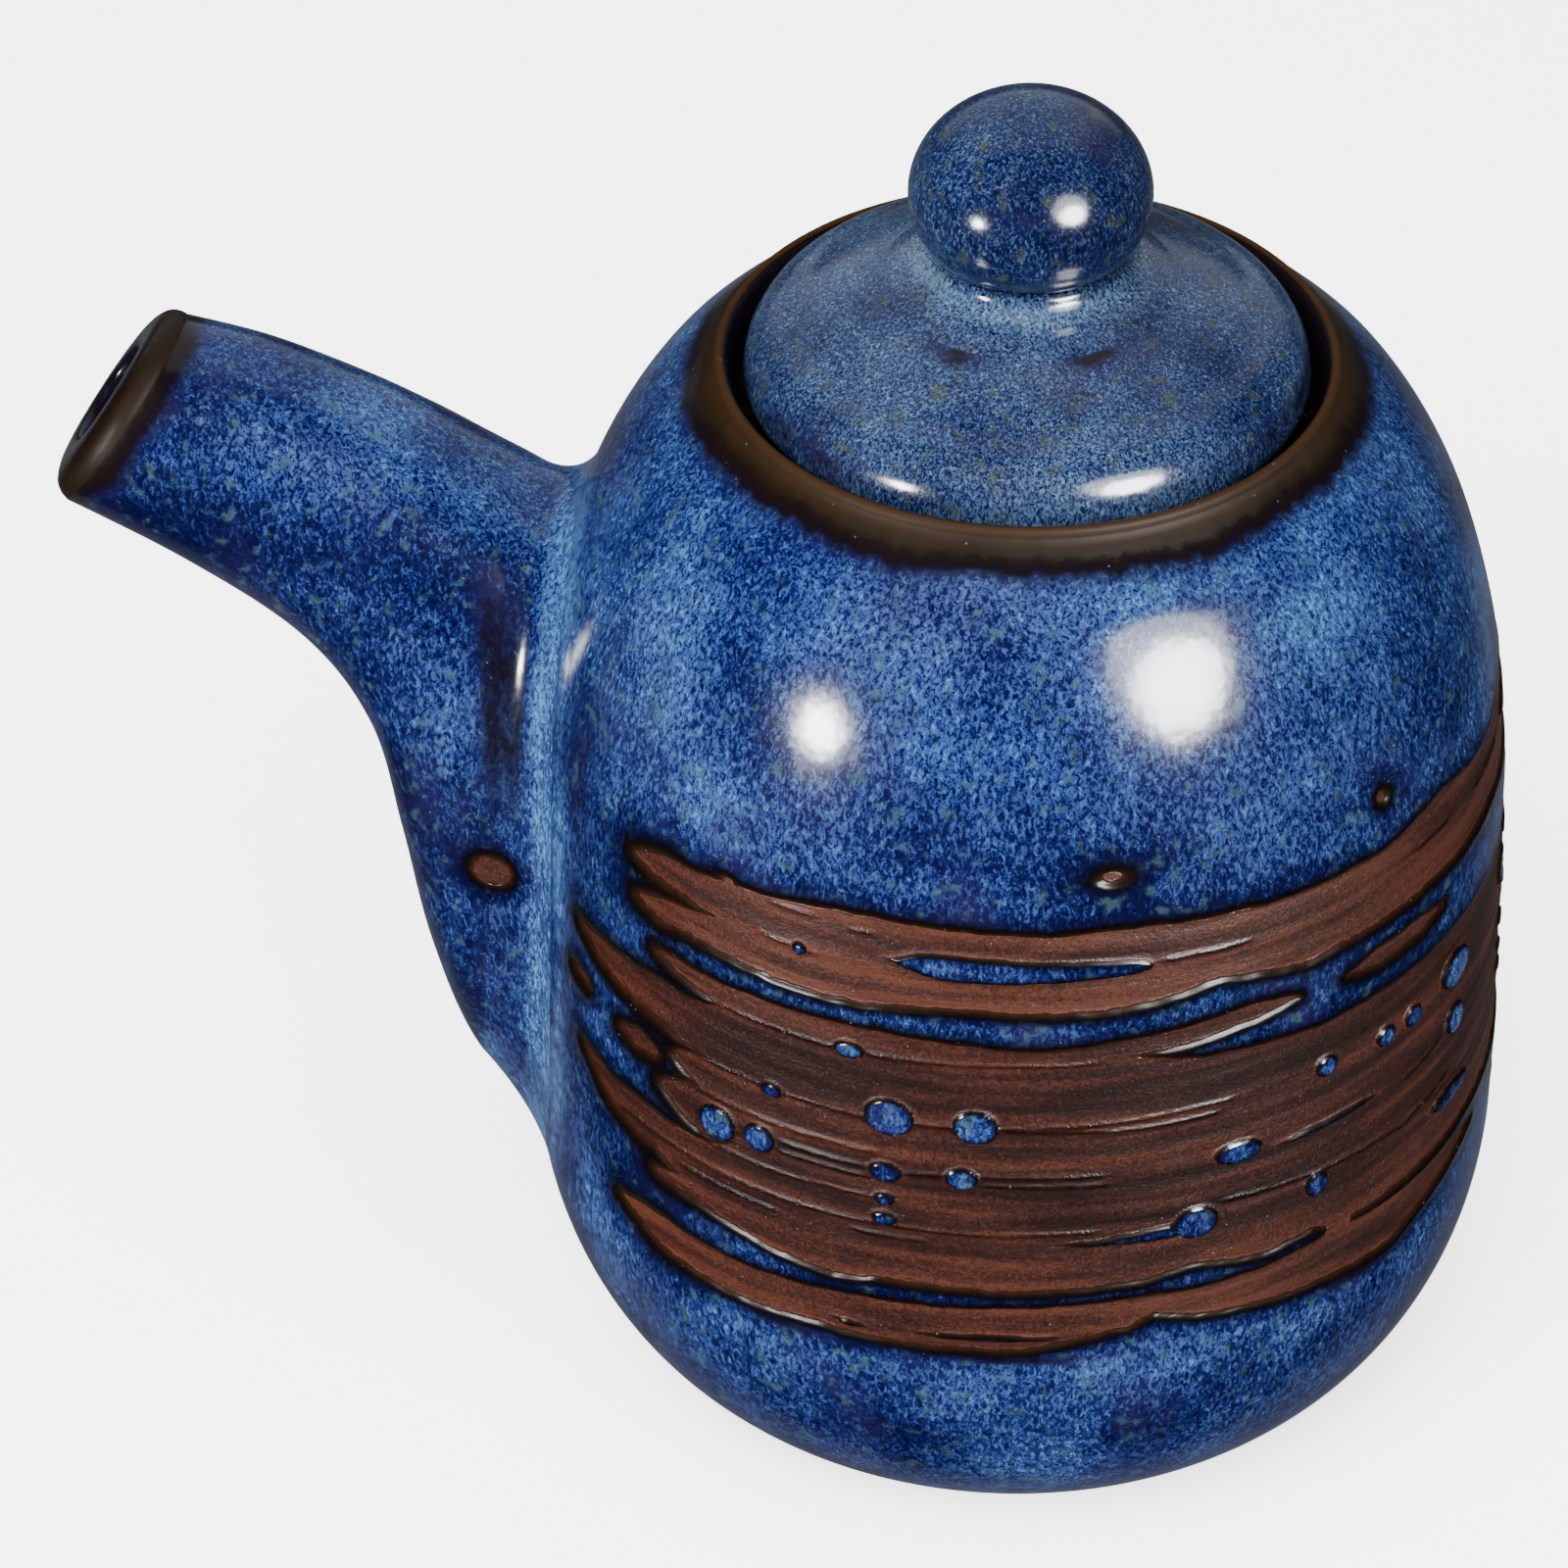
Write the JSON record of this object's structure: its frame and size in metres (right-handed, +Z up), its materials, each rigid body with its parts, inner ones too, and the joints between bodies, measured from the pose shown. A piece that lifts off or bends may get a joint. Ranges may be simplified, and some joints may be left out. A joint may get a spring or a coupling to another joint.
{
  "type": "sake pot",
  "caption": "Lidded ceramic pouring pot with a domed body, a hollow beak spout on one side, and a lift-off lid with a ball knob.",
  "frame": {"origin": "centre of the flat foot that the pot stands on", "axes": "+Z up along the axis of the pot, the spout points along -X, +Y completes the right-handed frame"},
  "size_m": [0.1177, 0.08, 0.1163],
  "materials": {
    "blue_glaze": "gloss",
    "lid_glaze": "gloss"
  },
  "bodies": {
    "pot": {"pot_body": "blue_glaze", "spout": "blue_glaze"},
    "cover": {"lid": "lid_glaze", "lid_knob": "lid_glaze"}
  },
  "joints": [
    {"name": "lid_lift", "type": "slide", "parent": "pot", "child": "cover", "axis": [0, 0, 1], "range_m": [0, 0.04]}
  ]
}
